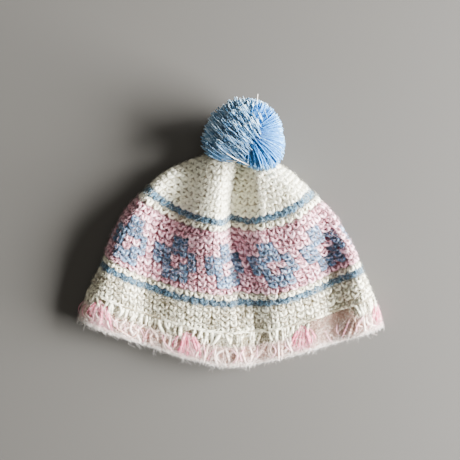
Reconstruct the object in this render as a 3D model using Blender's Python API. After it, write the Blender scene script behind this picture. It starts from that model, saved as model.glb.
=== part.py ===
# A small child's crocheted beanie with a yarn pompom, lying flat on its back layer.
# +X runs to the right along the rim, +Y towards the pompom and +Z up from the floor.
# The origin is on the floor, at the middle of the straight line between the rim's two corners.
import bmesh
import bpy
import math
import numpy as np

MM = 0.001

# Fabric, in millimetres
RIM_WIDTH = 219.0
WALL = 3.0
GAP = 0.3
PUFF = 20.4
SIDE_FOLD = 12.0
SIDE_ROLL = 11.0
TIP_ROLL = 9.0
FOLD_SOFTNESS = 1.5

# Rounds, in millimetres from the rim up
RIM_EDGE_HEIGHT = 3.6
EDGING_HEIGHT = 21.3
ROUND_HEIGHT = 4.45

# Pink fans of the edging
FAN_FOOT = 6.0
FAN_SPREAD = 16.0

# Pompom
POMPOM_DIAMETER = 56.0
POMPOM_LEFT_RIGHT = 5.5
POMPOM_PAST_TIP = 10.5
LOCK_LENGTH = 10.0
FLOOR_PRESS = 2.5
CROWN_PRESS = 2.5
CROWN_PRESS_ANGLE = math.radians(40)

CREAM = "E8E0CC"
BLUE = "6E96B4"
PINK = "D89AA2"
FAN_PINK = "E8A9B5"
RIM_WHITE = "F0ECE6"
POMPOM_BLUE = "8FB8DC"

# Worked rounds above the edging: name, number of rounds, rows of faces, colour
BANDS = (
    ("lower_band", 4, 3, CREAM),
    ("lower_stripe", 1, 1, BLUE),
    ("lower_cream_round", 1, 1, CREAM),
    ("motif_band", 10, 8, PINK),
    ("upper_cream_round", 1, 1, CREAM),
    ("upper_stripe", 1, 1, BLUE),
    ("crown", 11, 9, CREAM),
)
BODY_HEIGHT = RIM_EDGE_HEIGHT + EDGING_HEIGHT + ROUND_HEIGHT * sum(band[1] for band in BANDS)

# Plan of the flat hat. along: share of the body's height from the rim. half_width and shift: shares
# of half the rim. rise: how far a round's ends lie above its middle, a share of the body's height.
# puff: height of the top layer, a share of PUFF. point: how far the round's arc turns into a V.
SECTION_COLUMNS = ("along", "half_width", "rise", "shift", "puff", "point")
SECTIONS = (
    (0.000, 1.000, 0.200, 0.000, 0.70, 0.95),
    (0.162, 0.930, 0.188, 0.000, 0.86, 0.45),
    (0.292, 0.854, 0.176, 0.000, 0.96, 0.15),
    (0.479, 0.744, 0.168, -0.015, 1.00, 0.00),
    (0.623, 0.600, 0.161, -0.025, 1.00, 0.00),
    (0.667, 0.540, 0.158, -0.027, 0.99, 0.00),
    (0.753, 0.445, 0.132, -0.030, 0.95, 0.00),
    (0.838, 0.350, 0.092, -0.020, 0.90, 0.00),
    (0.916, 0.225, 0.052, -0.012, 0.86, 0.00),
    (0.968, 0.110, 0.021, -0.005, 0.84, 0.00),
    (1.000, 0.000, 0.000, 0.000, 0.84, 0.00),
)
# Rounding of the V's tip, a share of half a round's width
POINT_ROUNDING = 0.2

# Folds of the top layer, each from the top down along a bend through three points. x: shares of
# half the rim. y, the widths left and right of the line, and pull, how far the fold draws the
# rounds up: shares of the body's height. height: share of PUFF.
FOLD_COLUMNS = ("x_1", "y_1", "x_2", "y_2", "x_3", "y_3", "height", "left", "right", "pull")
FOLDS = (
    # Valley down the left, and the lobe outside it
    (-0.12, 0.88, -0.48, 0.44, -0.54, -0.35, -0.48, 0.050, 0.105, 0.000),
    (-0.29, 0.73, -0.68, 0.40, -0.92, -0.32, 0.34, 0.078, 0.125, 0.000),
    # Ridge down from the pompom, the crease at its right, and the slope up from the crease
    (0.03, 0.97, -0.11, 0.52, -0.07, 0.03, 0.53, 0.123, 0.048, 0.000),
    (0.06, 0.80, -0.01, 0.42, 0.13, -0.16, -0.48, 0.019, 0.060, 0.026),
    (0.12, 0.62, 0.10, 0.40, 0.20, 0.02, -0.08, 0.030, 0.070, 0.000),
    (0.18, 0.59, 0.17, 0.40, 0.22, 0.16, 0.20, 0.040, 0.078, 0.000),
    # Right shoulder of the crown
    (0.10, 0.96, 0.16, 0.70, 0.22, 0.44, 0.40, 0.040, 0.200, 0.000),
    # Lobe at the right, the second crease that runs out into a hollow, and the lobe outside it
    (0.27, 0.80, 0.42, 0.42, 0.18, -0.15, 0.36, 0.120, 0.075, -0.012),
    (0.44, 0.72, 0.63, 0.34, 0.63, -0.36, -0.42, 0.050, 0.100, 0.000),
    (0.52, 0.67, 0.78, 0.36, 0.85, -0.32, 0.34, 0.090, 0.045, 0.000),
    # Rounds drawn up beside the second crease, and a faint fold that reaches the rim
    (0.62, 0.60, 0.68, 0.26, 0.64, 0.02, 0.00, 0.060, 0.110, 0.010),
    (0.10, 0.25, 0.17, -0.02, 0.15, -0.36, -0.21, 0.030, 0.060, 0.000),
)

# Middle of each fan, as a share of the rim's round: the top layer runs from 0 at the left fold
# to 0.5 at the right fold, and the bottom layer back to 1
FAN_PLACES = (0.0475, 0.185, 0.3615, 0.491, 0.6175, 0.770, 0.9225)

TOP_COLUMNS = 30
BOTTOM_COLUMNS = 16
EDGING_ROWS = 3
LOCK_LEVEL = 3
SECTION_POINTS = 97
FOLD_POINTS = 33


def material(name, colour, roughness=0.95):
    finish = bpy.data.materials.new(name)
    finish.use_nodes = True
    shader = finish.node_tree.nodes["Principled BSDF"]
    channels = [int(colour[i : i + 2], 16) / 255 for i in (0, 2, 4)]
    linear = [c / 12.92 if c <= 0.04045 else ((c + 0.055) / 1.055) ** 2.4 for c in channels]
    shader.inputs["Base Color"].default_value = (*linear, 1)
    shader.inputs["Roughness"].default_value = roughness
    shader.inputs["Metallic"].default_value = 0
    return finish


def add_object(name, mesh, colour):
    bm = bmesh.new()
    bm.from_mesh(mesh)
    bmesh.ops.recalc_face_normals(bm, faces=bm.faces)
    bm.to_mesh(mesh)
    bm.free()
    mesh.shade_smooth()
    mesh.set_sharp_from_angle(angle=math.radians(50))
    mesh.materials.append(material(name, colour))
    bpy.context.scene.collection.objects.link(bpy.data.objects.new(name, mesh))


def section_value(column, along):
    """A column of SECTIONS at a share of the height, on a smooth curve through its rows."""
    at = np.array([row[0] for row in SECTIONS])
    values = np.array([row[SECTION_COLUMNS.index(column)] for row in SECTIONS])
    slopes = np.gradient(values, at)
    i = int(np.clip(np.searchsorted(at, along) - 1, 0, len(at) - 2))
    step = at[i + 1] - at[i]
    t = (along - at[i]) / step
    start = values[i] + step * slopes[i] * t
    end = values[i + 1] - step * slopes[i + 1] * (1 - t)
    ease = t * t * (3 - 2 * t)
    return start * (1 - ease) + end * ease


def fold_field(x, y):
    """Height and pull of the folds at points of the plan, each fading off to its sides and ends."""
    height, pull = np.zeros_like(x), np.zeros_like(x)
    for row in FOLDS:
        fold = dict(zip(FOLD_COLUMNS, row))
        ends = [(fold[f"x_{i}"] * RIM_WIDTH / 2, fold[f"y_{i}"] * BODY_HEIGHT) for i in (1, 2, 3)]
        start, middle, end = (np.array(point) for point in ends)
        t = np.linspace(0, 1, FOLD_POINTS)
        bend = 2 * middle - (start + end) / 2
        line = np.outer((1 - t) ** 2, start) + np.outer(2 * t * (1 - t), bend) + np.outer(t**2, end)
        tangent = np.gradient(line, t, axis=0)
        away = np.stack([x, y], -1)[:, None, :] - line
        nearest = np.linalg.norm(away, axis=2).argmin(axis=1)
        away, heading = away[np.arange(len(x)), nearest], tangent[nearest]
        speed = np.linalg.norm(heading, axis=1)
        at = np.clip(t[nearest] + (away * heading).sum(axis=1) / speed**2, 0, 1)
        side = (away[:, 1] * heading[:, 0] - away[:, 0] * heading[:, 1]) / speed
        rightness = 0.5 + 0.5 * np.tanh(side / FOLD_SOFTNESS)
        width = BODY_HEIGHT * (fold["left"] + (fold["right"] - fold["left"]) * rightness)
        strength = np.sin(math.pi * at) ** 1.3 * np.exp(-((side / width) ** 2))
        height += fold["height"] * PUFF * strength
        pull += fold["pull"] * BODY_HEIGHT * strength
    return height, pull


def half_round(along, inset, top):
    """Points of one layer of a round from left to right, inset from the outer skin by the wall."""
    share = along / BODY_HEIGHT
    half = max(section_value("half_width", share) * RIM_WIDTH / 2, 1e-3)
    rise = section_value("rise", share) * BODY_HEIGHT
    spread = max(2 * math.atan2(rise, half), 1e-3)
    length = half * spread / math.sin(spread)
    close = (along - BODY_HEIGHT + TIP_ROLL) / (TIP_ROLL - inset)
    tip = math.sqrt(1 - min(max(close, 0), 1) ** 2)
    reach = (length - inset) * tip if inset else length
    roll = min(SIDE_ROLL, 0.45 * length) - inset * min(1, length / SIDE_ROLL / 2)
    place = reach * np.sin(np.linspace(-math.pi / 2, math.pi / 2, SECTION_POINTS))
    angle = spread * place / length
    across = np.sin(angle) / math.sin(spread)
    x = section_value("shift", share) * RIM_WIDTH / 2 + half * across
    sharp = np.sqrt(across**2 + POINT_ROUNDING**2) - POINT_ROUNDING
    sharp /= math.sqrt(1 + POINT_ROUNDING**2) - POINT_ROUNDING
    arc = (1 - np.cos(angle)) / max(1 - math.cos(spread), 1e-9)
    point = section_value("point", share)
    y = along - rise_of_rim() + rise * (arc + point * (sharp - arc))
    edge = np.clip((np.abs(place) - reach + roll) / roll, 0, 1)
    edge = np.sqrt(1 - edge**2) * tip
    middle = SIDE_FOLD / 2
    if top:
        fold, pull = fold_field(x, y)
        crest = section_value("puff", share) * PUFF + fold - inset
        z = middle + (crest - middle) * edge
        y = y + pull * edge
    else:
        z = middle - (middle - inset) * edge
    return np.stack([x, y, z], -1)


def rise_of_rim():
    return section_value("rise", 0) * BODY_HEIGHT


def resample(line, shares):
    steps = np.linalg.norm(np.diff(line, axis=0), axis=1)
    along = np.concatenate([[0], np.cumsum(steps)])
    return np.stack([np.interp(shares * along[-1], along, line[:, axis]) for axis in range(3)], -1)


def round_points(along, shares, inset):
    """Points of a round at shares of it: 0 to 0.5 over the top layer, then back under it."""
    shares = np.mod(shares, 1)
    top = resample(half_round(along, inset, True), np.clip(shares * 2, 0, 1))
    bottom = resample(half_round(along, inset, False)[::-1], np.clip(shares * 2 - 1, 0, 1))
    return np.where(shares[:, None] < 0.5, top, bottom)


def round_length(along):
    return sum(
        np.linalg.norm(np.diff(half_round(along, 0, top), axis=0), axis=1).sum() for top in (True, False)
    )


def column_shares():
    """Shares of a round at which its faces meet, closer together near the side folds."""
    halves = []
    for columns in (TOP_COLUMNS, BOTTOM_COLUMNS):
        even = np.arange(columns) / columns
        halves.append(0.5 * even + 0.25 * (1 - np.cos(math.pi * even)))
    return np.concatenate([halves[0] / 2, 0.5 + halves[1] / 2])


def strip_faces(first, second, closed):
    """Four-sided faces between two equal runs of vertex numbers."""
    count = len(first)
    last = count if closed else count - 1
    return [(first[i], first[(i + 1) % count], second[(i + 1) % count], second[i]) for i in range(last)]


def add_fabric(name, outer, inner, colour, closed, pole=False):
    """One solid between an outer and an inner grid of points, rows from the rim up."""
    rows, columns = len(outer), len(outer[0])
    points = np.concatenate([np.concatenate(outer), np.concatenate(inner)])
    number = np.arange(rows * columns * 2).reshape(2, rows, columns)
    faces = []
    for skin in number:
        for low, high in zip(skin[:-1], skin[1:]):
            faces += strip_faces(low, high, closed)
    faces += strip_faces(number[0, 0], number[1, 0], closed)
    if pole:
        tips = [grid[-1].mean(axis=0) for grid in (outer, inner)]
        for tip, skin in zip(tips, number):
            ring = skin[-1]
            faces += [(ring[i], ring[(i + 1) % columns], len(points)) for i in range(columns)]
            points = np.concatenate([points, [tip]])
    else:
        faces += strip_faces(number[0, -1], number[1, -1], closed)
    if not closed:
        for side in (0, -1):
            faces += strip_faces(number[0, :, side], number[1, :, side], False)
    mesh = bpy.data.meshes.new(name)
    mesh.from_pydata((points * MM).tolist(), [], [tuple(int(i) for i in face) for face in faces])
    add_object(name, mesh, colour)


def add_ring(name, low, high, rows, colour):
    shares = column_shares()
    levels = np.linspace(low + GAP / 2, high - GAP / 2, rows + 1)
    skins = [[round_points(level, shares, inset) for level in levels] for inset in (0, WALL)]
    add_fabric(name, *skins, colour, closed=True)


def add_crown(name, low, high, rows, colour):
    """The last rounds, drawn in to a closed tip: the lining ends a wall's thickness earlier."""
    shares = column_shares()
    steps = np.sin(np.linspace(0, math.pi / 2, rows + 2)[:-1])
    base = low + GAP / 2
    skins = []
    for inset in (0, WALL):
        levels = base + (high - inset - base) * steps
        skins.append([round_points(level, shares, inset) for level in levels])
    add_fabric(name, *skins, colour, closed=True, pole=True)


def add_sector(name, levels, left, right, colour):
    """A part of the edging between two slanted sides, given as shares of the round at each level."""
    inside = column_shares()
    inside = np.concatenate([inside, inside + 1])
    margin = 0.1 / (TOP_COLUMNS + BOTTOM_COLUMNS)
    inside = inside[(inside > max(left) + margin) & (inside < min(right) - margin)]
    skins = []
    for inset in (0, WALL):
        rows = []
        for level, start, end in zip(levels, left, right):
            rows.append(round_points(level, np.concatenate([[start], inside, [end]]), inset))
        skins.append(rows)
    add_fabric(name, *skins, colour, closed=False)


def add_edging(low, high):
    """Pink fans, and the cream shells that fill the round between them."""
    levels = np.linspace(low + GAP / 2, high - GAP / 2, EDGING_ROWS + 1)
    lengths = np.array([round_length(level) for level in levels])
    widths = np.linspace(FAN_SPREAD, FAN_FOOT, EDGING_ROWS + 1)
    half = widths / 2 / lengths
    gap = GAP / lengths
    for i, place in enumerate(FAN_PLACES):
        following = (*FAN_PLACES[1:], FAN_PLACES[0] + 1)[i]
        add_sector(f"pink_fan_{i + 1}", levels, place - half, place + half, FAN_PINK)
        sides = (place + half + gap, following - half - gap)
        add_sector(f"cream_shell_{i + 1}", levels, *sides, CREAM)


def pressed(distance, softness):
    """Distance from a surface that a ball of yarn is pressed against, never below zero."""
    return (distance + np.sqrt(distance**2 + softness**2)) / 2


def crown_outline():
    """Outer points of the crown's last third, that the pompom is pressed against."""
    levels = np.linspace(BODY_HEIGHT * 0.9, BODY_HEIGHT - 0.1, 12)
    return np.concatenate([round_points(level, column_shares(), 0) for level in levels])


def add_pompom():
    """A ball of locks, pressed flat by the floor and by the crown's tip."""
    radius = POMPOM_DIAMETER / 2
    random = np.random.default_rng(5)
    bm = bmesh.new()
    bmesh.ops.create_icosphere(bm, subdivisions=LOCK_LEVEL, radius=radius - LOCK_LENGTH)
    size = math.sqrt(4 * math.pi / len(bm.faces)) * (radius - LOCK_LENGTH)
    roots = list(bm.faces)
    bmesh.ops.inset_individual(bm, faces=roots, thickness=size * 0.12, depth=0)
    tops = bmesh.ops.extrude_discrete_faces(bm, faces=roots)["faces"]
    for top in tops:
        centre = top.calc_center_median()
        outward = centre.normalized()
        lean = 0.24 * size * random.uniform(-1, 1, 3)
        length = LOCK_LENGTH * random.uniform(0.80, 1.0)
        for vertex in top.verts:
            spoke = (vertex.co - centre) * 0.9
            for axis in range(3):
                vertex.co[axis] = centre[axis] + outward[axis] * length + spoke[axis] + lean[axis]
    points = np.array([vertex.co for vertex in bm.verts])
    tip_y = BODY_HEIGHT - rise_of_rim()
    points += (POMPOM_LEFT_RIGHT, tip_y + POMPOM_PAST_TIP, radius - FLOOR_PRESS)
    points[:, 2] = pressed(points[:, 2], FLOOR_PRESS)
    points[:, 2] -= points[:, 2].min()
    away = np.array([0, math.cos(CROWN_PRESS_ANGLE), math.sin(CROWN_PRESS_ANGLE)])
    seat = (crown_outline() @ away).max() + GAP
    distance = points @ away - seat
    moved = pressed(distance, CROWN_PRESS)
    moved -= moved.min()
    points += np.outer(moved - distance, away)
    for vertex, point in zip(bm.verts, points):
        vertex.co = point * MM
    mesh = bpy.data.meshes.new("pompom")
    bm.to_mesh(mesh)
    bm.free()
    add_object("pompom", mesh, POMPOM_BLUE)


def build():
    for item in list(bpy.data.objects):
        bpy.data.objects.remove(item)
    add_ring("rim_edging", 0, RIM_EDGE_HEIGHT, 1, RIM_WHITE)
    level = RIM_EDGE_HEIGHT + EDGING_HEIGHT
    add_edging(RIM_EDGE_HEIGHT, level)
    for name, rounds, rows, colour in BANDS:
        top = level + rounds * ROUND_HEIGHT
        add = add_crown if name == "crown" else add_ring
        add(name, level, top, rows, colour)
        level = top
    add_pompom()


build()
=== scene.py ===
import math

import bpy
import numpy as np
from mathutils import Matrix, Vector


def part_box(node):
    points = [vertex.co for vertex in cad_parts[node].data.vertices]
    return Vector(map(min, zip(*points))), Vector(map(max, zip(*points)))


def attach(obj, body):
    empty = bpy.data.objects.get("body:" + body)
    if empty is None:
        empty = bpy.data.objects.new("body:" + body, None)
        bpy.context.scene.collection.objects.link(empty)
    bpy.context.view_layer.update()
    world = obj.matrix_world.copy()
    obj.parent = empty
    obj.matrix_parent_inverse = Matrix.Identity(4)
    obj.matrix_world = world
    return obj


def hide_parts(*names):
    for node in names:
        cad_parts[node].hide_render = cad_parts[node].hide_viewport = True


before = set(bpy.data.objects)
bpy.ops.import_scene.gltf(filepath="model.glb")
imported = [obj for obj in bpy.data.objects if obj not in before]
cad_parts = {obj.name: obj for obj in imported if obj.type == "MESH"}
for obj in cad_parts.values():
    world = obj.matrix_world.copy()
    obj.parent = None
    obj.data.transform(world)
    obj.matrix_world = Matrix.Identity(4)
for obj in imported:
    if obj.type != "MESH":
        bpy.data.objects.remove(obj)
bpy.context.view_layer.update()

mm = 0.001
tau = 2 * math.pi
rng = np.random.default_rng(12)  # the same draws on every run

# The hat's size comes from the frame; its other measures are set here.
rimLow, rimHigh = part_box("rim_edging")
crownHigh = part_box("crown")[1]
hat = {
    "halfRim": (rimHigh.x - rimLow.x) / 2,
    "height": crownHigh.y - rimLow.y,
    "rimDrop": -rimLow.y,  # how far the middle of the rim lies below its corners
    "wall": 3.0 * mm,
    "puff": 20.4 * mm,  # height of the top layer along its middle
    "sideFold": 12.0 * mm,  # thickness at the side folds
    "sideRoll": 11.0 * mm,  # how far in the folds' rounding reaches
    "tipRoll": 9.0 * mm,
    "foldSoftness": 1.5 * mm,  # between a fold's left and right widths
    "rimEdge": 3.6 * mm,
    "edging": 21.3 * mm,
    "rounds": 29,  # worked rounds from the edging up to the tip
}
hat["round"] = (hat["height"] - hat["rimEdge"] - hat["edging"]) / hat["rounds"]
edgingTop = hat["rimEdge"] + hat["edging"]

# Plan of the flat hat, as shares: along the height from the rim; half width and shift of half the
# rim; rise of a round's ends over its middle, of the height; puff, of the puff above; point, how
# far a round's arc turns into a V.
sections = np.array([
    (0.000, 1.000, 0.200, 0.000, 0.70, 0.95),
    (0.162, 0.930, 0.188, 0.000, 0.86, 0.45),
    (0.292, 0.854, 0.176, 0.000, 0.96, 0.15),
    (0.479, 0.744, 0.168, -0.015, 1.00, 0.00),
    (0.623, 0.600, 0.161, -0.025, 1.00, 0.00),
    (0.667, 0.540, 0.158, -0.027, 0.99, 0.00),
    (0.753, 0.445, 0.132, -0.030, 0.95, 0.00),
    (0.838, 0.350, 0.092, -0.020, 0.90, 0.00),
    (0.916, 0.225, 0.052, -0.012, 0.86, 0.00),
    (0.968, 0.110, 0.021, -0.005, 0.84, 0.00),
    (1.000, 0.000, 0.000, 0.000, 0.84, 0.00),
])
halfWidth, rise, shift, puff, point = 1, 2, 3, 4, 5  # columns of the table

# Folds of the top layer: three points from the top down (x of half the rim, y of the height),
# height of the puff, widths left and right of the line and pull of the rounds, of the height.
folds = np.array([
    (-0.12, 0.88, -0.48, 0.44, -0.54, -0.35, -0.48, 0.050, 0.105, 0.000),  # valley down the left
    (-0.29, 0.73, -0.68, 0.40, -0.92, -0.32, 0.34, 0.078, 0.125, 0.000),  # the lobe outside it
    (0.03, 0.97, -0.11, 0.52, -0.07, 0.03, 0.53, 0.123, 0.048, 0.000),  # ridge from the pompom
    (0.06, 0.80, -0.01, 0.42, 0.13, -0.16, -0.48, 0.019, 0.060, 0.026),  # crease at its right
    (0.12, 0.62, 0.10, 0.40, 0.20, 0.02, -0.08, 0.030, 0.070, 0.000),  # slope up from it
    (0.18, 0.59, 0.17, 0.40, 0.22, 0.16, 0.20, 0.040, 0.078, 0.000),  # end of that slope
    (0.10, 0.96, 0.16, 0.70, 0.22, 0.44, 0.40, 0.040, 0.200, 0.000),  # shoulder of the crown
    (0.27, 0.80, 0.42, 0.42, 0.18, -0.15, 0.36, 0.120, 0.075, -0.012),  # lobe at the right
    (0.44, 0.72, 0.63, 0.34, 0.63, -0.36, -0.42, 0.050, 0.100, 0.000),  # second crease and hollow
    (0.52, 0.67, 0.78, 0.36, 0.85, -0.32, 0.34, 0.090, 0.045, 0.000),  # the lobe outside it
    (0.62, 0.60, 0.68, 0.26, 0.64, 0.02, 0.00, 0.060, 0.110, 0.010),  # rounds drawn up beside it
    (0.10, 0.25, 0.17, -0.02, 0.15, -0.36, -0.21, 0.030, 0.060, 0.000),  # faint fold at the rim
])


# Vectors at length 1.
def unit(vectors):
    return vectors / (np.linalg.norm(vectors, axis=-1, keepdims=True) + 1e-12)


# How far along its line each point of many lines lies.
def runAlong(lines):
    steps = np.linalg.norm(np.diff(lines, axis=1), axis=2)
    return np.concatenate([np.zeros((len(lines), 1)), np.cumsum(steps, axis=1)], axis=1)


# A column of the section table at shares of the height: cubic pieces whose slopes at the rows are
# the mean slopes of their neighbours.
def sectionValue(column, share):
    at, values = sections[:, 0], sections[:, column]
    slopes = np.gradient(values, at)
    i = np.clip(np.searchsorted(at, share) - 1, 0, len(at) - 2)
    step = at[i + 1] - at[i]
    t = (share - at[i]) / step
    start = values[i] + step * slopes[i] * t
    end = values[i + 1] - step * slopes[i + 1] * (1 - t)
    ease = t * t * (3 - 2 * t)
    return start * (1 - ease) + end * ease


# Height and pull of the folds over the plan. Each is a bell across its line, exp(-(side/width)^2),
# with its own width on either side, times sin(pi t)^1.3 along it.
def foldField(x, y, steps=33):
    height, pull = np.zeros((2, *x.shape))
    scale = np.array([hat["halfRim"], hat["height"]])
    t = np.linspace(0, 1, steps)
    for row in folds:
        start, middle, end = row[:6].reshape(3, 2) * scale
        bend = 2 * middle - (start + end) / 2
        line = np.outer((1 - t) ** 2, start) + np.outer(2 * t * (1 - t), bend) + np.outer(t**2, end)
        tangent = np.gradient(line, t, axis=0)
        nearest = np.stack([np.hypot(x - px, y - py) for px, py in line]).argmin(axis=0)
        away, heading = np.stack([x, y], -1) - line[nearest], tangent[nearest]
        speed = np.linalg.norm(heading, axis=-1)
        at = np.clip(t[nearest] + (away * heading).sum(axis=-1) / speed**2, 0, 1)
        side = (away[..., 1] * heading[..., 0] - away[..., 0] * heading[..., 1]) / speed
        rightness = 0.5 + 0.5 * np.tanh(side / hat["foldSoftness"])
        width = hat["height"] * (row[7] + (row[8] - row[7]) * rightness)
        strength = np.sin(math.pi * at) ** 1.3 * np.exp(-((side / width) ** 2))
        height += row[6] * hat["puff"] * strength
        pull += row[9] * hat["height"] * strength
    return height, pull


# The skin of the lying hat as a grid: rows of equal steps along the height, columns of equal
# steps around. A round is an arc in plan, turned by its point towards a V whose middle is rounded
# as sqrt(x^2 + blunt). Its top layer stands at puff plus folds and falls to the side folds as a
# quarter ellipse, its bottom layer lies on the floor.
def skinGrid(rows=280, columns=640, fine=241, blunt=0.04):
    alongs = np.linspace(-2 * mm, hat["height"] * 0.997, rows)  # from below the rim to the tip
    share = np.clip(alongs / hat["height"], 0, 1)[:, None]
    half = sectionValue(halfWidth, share) * hat["halfRim"]
    spread = np.maximum(2 * np.arctan2(sectionValue(rise, share) * hat["height"], half), 1e-3)
    length = half * spread / np.sin(spread)
    tip = np.clip((alongs[:, None] - hat["height"] + hat["tipRoll"]) / hat["tipRoll"], 0, 1)
    tip = np.sqrt(1 - tip**2)
    roll = np.minimum(hat["sideRoll"], 0.45 * length)  # less on short rounds
    place = length * np.sin(np.linspace(-math.pi / 2, math.pi / 2, fine))
    angle = spread * place / length
    x = sectionValue(shift, share) * hat["halfRim"] + half * np.sin(angle) / np.sin(spread)
    y = alongs[:, None] - hat["rimDrop"] + half * (1 - np.cos(angle)) / np.sin(spread)
    across = np.sin(angle) / np.sin(spread)
    sharp = np.sqrt(across**2 + blunt) - math.sqrt(blunt)
    sharp /= math.sqrt(1 + blunt) - math.sqrt(blunt)
    y = y + sectionValue(point, share) * half * np.tan(spread / 2) * (sharp - across**2)
    edge = np.clip((np.abs(place) - length + roll) / roll, 0, 1)
    edge = np.sqrt(1 - edge**2) * tip
    middle = hat["sideFold"] / 2
    fold, pull = foldField(x, y)
    crest = sectionValue(puff, share) * hat["puff"] + fold
    layers = (
        np.stack([x, y + pull * edge, middle + (crest - middle) * edge], -1),
        np.stack([x, y, middle - middle * edge], -1)[:, ::-1],
    )
    grid, lengths = [], []
    shares = np.arange(columns // 2) / (columns // 2)
    for layer in layers:
        runs = runAlong(layer)
        grid.append([[np.interp(shares * run[-1], run, axis) for axis in line.T]
                     for run, line in zip(runs, layer)])
        lengths.append(runs[:, -1])
    grid = np.concatenate(grid, axis=2).transpose(0, 2, 1)
    return alongs, grid, np.stack(lengths, -1)


alongs, skin, layerLengths = skinGrid()
wrapped = np.concatenate([skin[:, -1:], skin, skin[:, :1]], axis=1)
normals = unit(np.cross(np.gradient(wrapped, axis=1)[:, 1:-1], np.gradient(skin, axis=0)))
normals *= np.sign(normals[len(normals) // 2, skin.shape[1] // 4, 2])  # outwards: up on top
print("skin of the hat: rows", skin.shape[0], "rim round", round(layerLengths[0].sum() / mm), "mm")


# Points of the hat: the grid read between its four nearest points, and pushed out by the lift.
def onHat(along, around, lift):
    along, around, lift = np.broadcast_arrays(along, around, lift)
    rows, columns = skin.shape[:2]
    a = (along - alongs[0]) / (alongs[1] - alongs[0])
    i = np.clip(a.astype(int), 0, rows - 2)
    a = (a - i)[..., None]
    u = np.mod(around, 1) * columns
    j = u.astype(int) % columns
    u = (u - np.floor(u))[..., None]
    k = (j + 1) % columns
    found = []
    for grid in (skin, normals):
        low = grid[i, j] * (1 - u) + grid[i, k] * u
        high = grid[i + 1, j] * (1 - u) + grid[i + 1, k] * u
        found.append(low * (1 - a) + high * a)
    out = unit(found[1])
    return found[0] + out * lift[..., None], out


# Length of the round at a height along the hat.
def roundLength(along):
    return np.interp(along, alongs, layerLengths.sum(axis=1))


# A hex colour as linear light: a channel c is c / 12.92 at the dark end, and otherwise
# ((c + 0.055) / 1.055)^2.4.
def linearColour(hexCode):
    channels = [int(hexCode[i : i + 2], 16) / 255 for i in (0, 2, 4)]
    return (*[c / 12.92 if c <= 0.04045 else ((c + 0.055) / 1.055) ** 2.4 for c in channels], 1)


# One node with its settings, its inputs' values and the links into it.
def addNode(tree, kind, settings=None, inputs=None):
    node = tree.nodes.new(kind)
    for key, value in (settings or {}).items():
        setattr(node, key, value)
    for key, value in (inputs or {}).items():
        if isinstance(value, bpy.types.NodeSocket):
            tree.links.new(value, node.inputs[key])
        else:
            node.inputs[key].default_value = value
    return node


# Grain and gloss of the yarns. Real fibres are about 0.02 mm thick, drawn coarser here to show.
yarnLook = {
    "patch": 1.6 * mm,  # size of the lighter and darker places
    "toneShare": 0.28,  # how much a strand's tone, its own at random with its painted highlight and shade, counts beside them
    "stops": (0.39, 0.55, 0.82),  # where dark, body and light stand between them
    "fibre": 0.4 * mm,
    "relief": 0.25 * mm,
    "sheen": 0.35,
}


# Yarn: soft, without gloss, each strand a little lighter or darker, with fine fibres. dark, body
# and light are its darker fibres with painted shade between them, its own colour, and its paler
# fluff with a painted highlight where it is lit. The record's slot goes with it.
def yarnMaterial(name, slotName, dark, body, light, sheen=yarnLook["sheen"]):
    material = bpy.data.materials.new(name)
    material.use_nodes = True
    tree = material.node_tree
    shader = tree.nodes["Principled BSDF"]
    place = addNode(tree, "ShaderNodeTexCoord").outputs["Object"]
    patches = addNode(tree, "ShaderNodeTexNoise", None,
                      {"Vector": place, "Scale": 1 / yarnLook["patch"], "Detail": 3.0,
                       "Roughness": 0.6})
    tone = addNode(tree, "ShaderNodeAttribute", {"attribute_name": "tone"})
    mixed = addNode(tree, "ShaderNodeMath", {"operation": "MULTIPLY_ADD"},
                    {0: tone.outputs["Fac"], 1: yarnLook["toneShare"], 2: patches.outputs["Fac"]})
    ramp = addNode(tree, "ShaderNodeValToRGB", None, {"Fac": mixed.outputs[0]})
    stops = ramp.color_ramp.elements
    darkAt, bodyAt, lightAt = yarnLook["stops"]
    stops[0].position, stops[0].color = darkAt, linearColour(dark)
    stops[1].position, stops[1].color = lightAt, linearColour(light)
    stops.new(bodyAt).color = linearColour(body)
    fibres = addNode(tree, "ShaderNodeTexNoise", None,
                     {"Vector": place, "Scale": 1 / yarnLook["fibre"], "Detail": 2.0})
    bump = addNode(tree, "ShaderNodeBump", None,
                   {"Height": fibres.outputs["Fac"], "Strength": 0.6,
                    "Distance": yarnLook["relief"]})
    tree.links.new(ramp.outputs["Color"], shader.inputs["Base Color"])
    tree.links.new(bump.outputs["Normal"], shader.inputs["Normal"])
    shader.inputs["Roughness"].default_value = 0.95
    shader.inputs["Specular IOR Level"].default_value = 0.15
    shader.inputs["Sheen Weight"].default_value = sheen
    shader.inputs["Sheen Roughness"].default_value = 0.6
    return material, slotName


# Spun wools: matt, with painted shade deep in the gaps between their plies and a painted highlight
# where their fluff is lit.
creamYarn = yarnMaterial("creamWool", "cream_yarn", "80755a", "ece8cf", "fdfbe8")
blueYarn = yarnMaterial("greyBlueWool", "blue_yarn", "1b3443", "42708b", "95b9cb")
pinkYarn = yarnMaterial("pinkWool", "pink_yarn", "70353f", "d596a3", "fbe4ea")
flowerYarn = yarnMaterial("blueFlowerWool", "blue_yarn", "1a2c3f", "41658a", "a6c0d6")
# Brushed mohairs: milky and even, because a pale bloom of fluff hides their plies.
fanYarn = yarnMaterial("brushedPinkMohair", "fan_yarn", "ae485f", "e07e96", "f6bac8")
palePinkYarn = yarnMaterial("palePinkMohair", "rim_yarn", "a87f6c", "e8cabf", "fbefe6")
rimYarn = yarnMaterial("brushedWhiteMohair", "rim_yarn", "cfc4b8", "efe8de", "fffcf8")
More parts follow.
